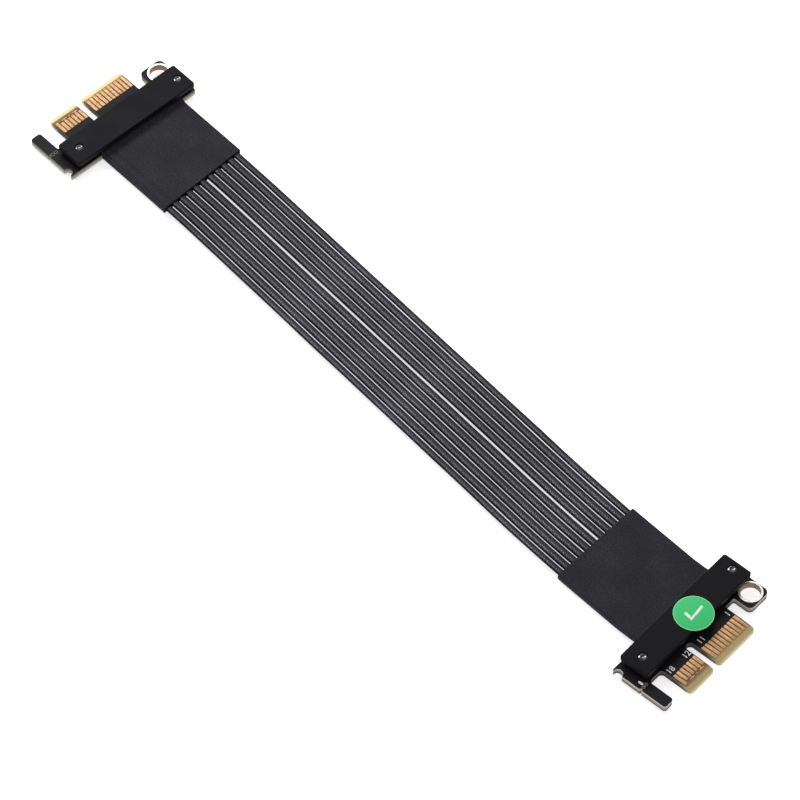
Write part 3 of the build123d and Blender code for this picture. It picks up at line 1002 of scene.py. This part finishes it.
# The tick is drawn as (right, up) in the picture and turned onto the card. Up in the picture is
# shortened by the slant of the view, so it is stretched again here.
drawn = np.array([(-1.75, 0.1), (-0.5, -1.2), (1.85, 1.4)]) / (1, 0.807)
corners = (sticker_u, sticker_v) + drawn @ np.array([(0.662, 0.75), (0.75, -0.662)])
tick_shape = flat_print(stroke_outline(corners, 0.62))
tick_height = cover_top + sticker_thickness - 0.002
tick = add_piece("printed_tick", [on_side("b", -1, tick_shape, height=tick_height)], ink.material)
print("tick", triangles(tick), "triangles")

# %% [markdown]
# One face of each card carries small white print. Plain numbers mark the first and last contact
# of each row, and a short dash marks the hook's root. A number is set as text, made a mesh, and
# laid on the mask so that it reads upright from the tips.

# %% The print on the cards
chalk = Finish("white_print", roughness=0.6, specular=0.2)
chalk.speckled(5000, (196, 196, 198), (240, 240, 242), 0.000004, 0.3, detail=3.0, to=0.55)
print_height = 0.012
number_height = 1.3
number_v = 2.05
dash_place = (-13.4, -1.04)


def number_shape(body, height):
    """(points, faces) of a number in millimetres, standing on its baseline, centred across."""
    text = bpy.data.curves.new(f"number_{body}", "FONT")
    text.body = body
    text.size = height / 0.7
    text.align_x = "CENTER"
    text.extrude = print_height / 2
    text.offset = 0.025
    text.resolution_u = 3
    holder = bpy.data.objects.new(text.name, text)
    mesh = bpy.data.meshes.new_from_object(holder)
    points = np.empty(len(mesh.vertices) * 3)
    mesh.vertices.foreach_get("co", points)
    faces = [tuple(p.vertices) for p in mesh.polygons]
    bpy.data.objects.remove(holder)
    bpy.data.curves.remove(text)
    bpy.data.meshes.remove(mesh)
    return points.reshape(-1, 3), faces


def printed_number(end, side, body, u, v):
    """A number on one face, its reading direction and its up seen from the tips."""
    points, faces = number_shape(body, number_height)
    laid = np.column_stack([u - side * points[:, 0], v - points[:, 1],
                            points[:, 2] + print_height / 2])
    if side < 0:
        faces = [tuple(reversed(f)) for f in faces]
    return on_side(end, side, (laid, faces))


for end in ("a", "b"):
    marks = [printed_number(end, -1, body, u, number_v)
             for body, u in (("1", 11.2), ("11", 2.7), ("12", -2.0), ("18", -7.0))]
    dash = rimmed_plate(rounded_outline(0.5, 1.2, 0.15), print_height, 0.004)
    marks.append(on_side(end, -1, dash, *dash_place))
    printed = add_piece(f"printed_marks_{end}", marks, chalk.material)
print("print", triangles(printed), "triangles a card")

# %% [markdown]
# Light and camera come last. The part lies on a pale table in soft light from all round, as in
# a shop picture, so shadows are faint. A smaller lamp beyond the first end makes that end the
# brighter one and draws the crescents on the rivets. The camera looks down from one corner with
# a long lens.

# %% Camera
camera_turn = np.radians(49.178)
camera_rise = np.radians(53.778)
camera_reach = 1.048777
aim = np.array([7.56, -5.144, 2.1]) * MM
away = np.array([np.sin(camera_turn) * np.cos(camera_rise),
                 -np.cos(camera_turn) * np.cos(camera_rise), np.sin(camera_rise)])
camera = bpy.data.objects.new("camera", bpy.data.cameras.new("camera"))
camera.data.lens = 225
camera.data.sensor_width = 36
camera.data.clip_start = 0.05
camera.data.clip_end = 20
bpy.context.collection.objects.link(camera)


def look(thing, place, target):
    """Puts a lamp or camera at a place, its -Z axis at the target and its Y axis up."""
    thing.location = place
    thing.rotation_euler = (Vector(target) - Vector(place)).to_track_quat("-Z", "Y").to_euler()


look(camera, aim + away * camera_reach, aim)
bpy.context.scene.camera = camera
print("camera at", (aim + away * camera_reach).round(3))

# %% Table
table = Finish("pale_table", roughness=0.6, specular=0.2)
table.colour(table.ramp(table.noise(table.place(scale=(3, 3, 3)), 1.0, 2.0), [(0.2, 0.86), (0.8, 0.9)]))
table.shader.inputs["Emission Color"].default_value = (0.96, 0.96, 1, 1)
table.shader.inputs["Emission Strength"].default_value = 0.68
side = 3.0
floor_mesh = bpy.data.meshes.new("table")
floor_mesh.from_pydata([(-side, -side, 0), (side, -side, 0), (side, side, 0), (-side, side, 0)], [],
                       [(0, 1, 2, 3)])
floor_mesh.materials.append(table.material)
floor = bpy.data.objects.new("table", floor_mesh)
floor.location.z = -0.0002
bpy.context.collection.objects.link(floor)
print("table", side * 2, "m wide")

# %% Light
world = bpy.data.worlds.new("studio")
world.use_nodes = True
world.node_tree.nodes["Background"].inputs["Color"].default_value = (1, 1, 1, 1)
world.node_tree.nodes["Background"].inputs["Strength"].default_value = 0.46
bpy.context.scene.world = world
bpy.context.scene.view_settings.view_transform = "Standard"
for name, place, size, power in (
    ("soft_back", (-0.42, 0.36, 0.55), 0.4, 2.6),
    ("soft_front", (0.9, -0.7, 1.2), 0.8, 0.6),
    ("small_left", (-0.46, 0.0, 0.52), 0.22, 2.1),
):
    lamp = bpy.data.objects.new(name, bpy.data.lights.new(name, "AREA"))
    lamp.data.shape = "SQUARE"
    lamp.data.size = size
    lamp.data.energy = power
    look(lamp, place, (0, 0, 0))
    bpy.context.collection.objects.link(lamp)
    print("lamp", name, power, "W")
